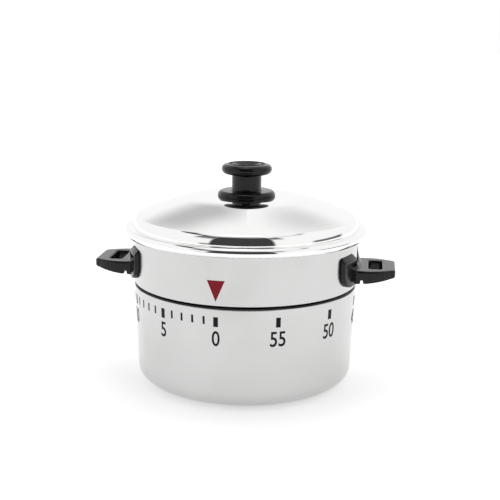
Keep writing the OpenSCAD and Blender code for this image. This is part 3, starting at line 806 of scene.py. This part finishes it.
@dataclass
class Handles:
    """The two moulded handles, their edges rounded as a mould leaves them."""

    grain: float = 0.26 * MM
    passes: int = 7
    blend: float = 0.5

    def build(self) -> None:
        """Makes both handles."""
        for node in ("left_handle", "right_handle"):
            piece = as_object(f"{node}_moulding", self._rounded(node), GLOSS_BLACK, 70)
            report(piece, Body.DIAL, Slot.GLOSS, node)

    def _rounded(self, node: str) -> bmesh.types.BMesh:
        """A node's form with its edges rounded.

        Args:
            node: The frame node that the form starts from. Its own mesh isn't touched.

        Returns:
            The rounded form.
        """
        holder = bpy.data.objects.new("handle_form", frame["nodes"][node].data.copy())
        bpy.context.scene.collection.objects.link(holder)
        remesh = holder.modifiers.new("fill", "REMESH")
        remesh.mode = "VOXEL"
        remesh.voxel_size = self.grain
        soften = holder.modifiers.new("round", "SMOOTH")
        soften.factor = self.blend
        soften.iterations = self.passes
        bpy.context.view_layer.update()
        form = bpy.data.meshes.new_from_object(holder.evaluated_get(bpy.context.evaluated_depsgraph_get()))
        bm = bmesh.new()
        bm.from_mesh(form)
        bpy.data.objects.remove(holder)
        bpy.data.meshes.remove(form)
        return bm


@dataclass(frozen=True)
class Gap:
    """An opening in the white tent, or a dimmer stretch of it.

    Angles are in degrees: turned left (-) or right (+) of the front the camera looks from, and up
    from the floor.
    """

    left: float
    right: float
    low: float
    high: float
    dim: float
    soft_side: float = 2.0
    soft_edge: float = 1.5


TENT_GAPS = (
    Gap(-36, 29, -12, 58, 0.95),
    Gap(-34, 30, 58, 80, 0.40, 3, 3),
    Gap(-60, -36, 36, 60, 0.86, 2, 8),
    Gap(29, 44, 38, 57, 0.82, 4, 5),
    Gap(-140, -60, 54, 64, 0.93, 4, 1.5),
    Gap(44, 140, 58, 62, 0.62, 4, 1.0),
    Gap(70, 110, -12, 8, 0.85, 4, 2),
    Gap(-46, -34, -12, 6, 0.80, 3, 3),
    Gap(-178, -152, 26, 48, 0.45, 8, 9),
    Gap(154, 172, 30, 50, 0.26, 8, 9),
)


@dataclass
class Studio:
    """Floor, light and camera."""

    azimuth: float = 13.67
    elevation: float = 12.6
    roll: float = -0.82
    distance: float = 320 * MM
    aim_z: float = 41.0 * MM
    aim_right: float = 1.33 * MM
    lens: float = 72.8
    tent_glow: float = 1.0
    floor_glow: float = 0.40

    def build(self) -> None:
        """Makes the floor, the lights, the surroundings and the camera."""
        self._floor()
        self._world()
        self._lights()
        self._camera()
        bpy.context.scene.view_settings.view_transform = "Standard"

    def _axes(self) -> tuple[Vector, Vector, Vector]:
        """The camera's right, up and backward directions before its roll."""
        turn, rise = math.radians(self.azimuth), math.radians(self.elevation)
        back = Vector((math.sin(turn) * math.cos(rise), -math.cos(turn) * math.cos(rise), math.sin(rise)))
        right = Vector((math.cos(turn), math.sin(turn), 0.0))
        return right, back.cross(right), back

    def _camera(self) -> None:
        """The camera at the viewing angle."""
        right, up, back = self._axes()
        lean = math.radians(self.roll)
        side = right * math.cos(lean) - up * math.sin(lean)
        head = right * math.sin(lean) + up * math.cos(lean)
        data = bpy.data.cameras.new("view")
        data.lens = self.lens
        data.sensor_width = 36.0
        data.clip_start = 0.01
        camera = bpy.data.objects.new("view", data)
        bpy.context.scene.collection.objects.link(camera)
        place = Vector((0, 0, self.aim_z)) + right * self.aim_right + back * self.distance
        camera.matrix_world = Matrix.Translation(place) @ Matrix((side, head, back)).transposed().to_4x4()
        bpy.context.scene.camera = camera

    def _floor(self) -> None:
        """A wide pale floor."""
        bm = bmesh.new()
        bmesh.ops.create_circle(bm, cap_ends=True, radius=4.0, segments=64)
        made = bpy.data.materials.new("pale_floor")
        made.use_nodes = True
        graph = Graph(made.node_tree)
        grain = graph.noise(graph.place(), 60.0).soft_step(0.3, 0.7)
        colour = graph.mix(grain, rgb(0.93, 0.93, 0.93), rgb(0.92, 0.92, 0.918))
        glow = {"Emission Color": rgb(1, 1, 1), "Emission Strength": self.floor_glow}
        values = {"Base Color": colour, "Roughness": 0.9} | glow
        graph.finish("ShaderNodeOutputMaterial", graph.node("ShaderNodeBsdfPrincipled", {}, values))
        mesh = bpy.data.meshes.new("floor")
        bm.to_mesh(mesh)
        bm.free()
        mesh.materials.append(made)
        floor = bpy.data.objects.new("floor", mesh)
        bpy.context.scene.collection.objects.link(floor)

    def _world(self) -> None:
        """A white tent all round, with the gaps a shiny object sees in it."""
        world = bpy.data.worlds.new("tent")
        world.use_nodes = True
        bpy.context.scene.world = world
        graph = Graph(world.node_tree)
        way = graph.node("ShaderNodeTexCoord", out="Generated")
        turn = math.radians(self.azimuth)
        ahead = self._along(graph, way, (math.sin(turn), -math.cos(turn), 0.0))
        aside = self._along(graph, way, (math.cos(turn), math.sin(turn), 0.0))
        around = aside.angle_to(ahead) * math.degrees(1)
        rise = self._along(graph, way, (0.0, 0.0, 1.0)).arcsin() * math.degrees(1)
        light: Val | float = 1.0
        for gap in TENT_GAPS:
            side = around.within(gap.left, gap.right, gap.soft_side)
            light = light * (1 - side * rise.within(gap.low, gap.high, gap.soft_edge) * gap.dim)
        seen = graph.node("ShaderNodeLightPath", out="Is Camera Ray")
        glow = graph.node("ShaderNodeBackground", {}, {"Color": rgb(1, 1, 1), "Strength": self.tent_glow})
        dark = graph.node("ShaderNodeBackground", {}, {"Color": rgb(0, 0, 0), "Strength": 1.0})
        shown = graph.node("ShaderNodeMixShader", {}, {0: (1 - light) * (1 - seen), 1: glow, 2: dark})
        graph.finish("ShaderNodeOutputWorld", shown)

    @staticmethod
    def _along(graph: Graph, way: Val, axis: tuple[float, float, float]) -> Val:
        """How far a direction points along an axis."""
        return graph.node("ShaderNodeVectorMath", {"operation": "DOT_PRODUCT"}, {0: way, 1: axis}, "Value")

    def _lights(self) -> None:
        """One faint soft box straight above, clear of the gaps that the lid mirrors."""
        self._soft_box("key", (-0.08, 0.08, 1.3), 0.36, 1.0)

    def _soft_box(self, name: str, place: tuple[float, float, float], size: float, power: float) -> None:
        """A square soft light aimed at the timer.

        Args:
            name: Its name.
            place: Where it hangs.
            size: Its side.
            power: Its power, in watts.
        """
        data = bpy.data.lights.new(name, "AREA")
        data.shape = "SQUARE"
        data.size = size
        data.energy = power
        light = bpy.data.objects.new(name, data)
        light.location = place
        light.rotation_euler = (Vector((0, 0, 0.04)) - Vector(place)).to_track_quat("-Z", "Y").to_euler()
        bpy.context.scene.collection.objects.link(light)


def dress_frame() -> None:
    """Gives every frame node the finish of its material slot."""
    slots = {part["node"]: part["material_slot"] for part in frame["record"]["subparts"]}
    for name, node in frame["nodes"].items():
        finish = SLOT_FINISH[slots[name]].material()
        node.data.materials.clear()
        node.data.materials.append(finish)


def main() -> None:
    """Builds the looks in order."""
    logging.basicConfig(level=logging.INFO, format="%(message)s")
    dress_frame()
    shells = Shells()
    shells.cup()
    shells.band()
    Scale(shells).build()
    Lid().build()
    Knob().build()
    Handles().build()
    Studio().build()


if __name__ == "__main__":
    main()
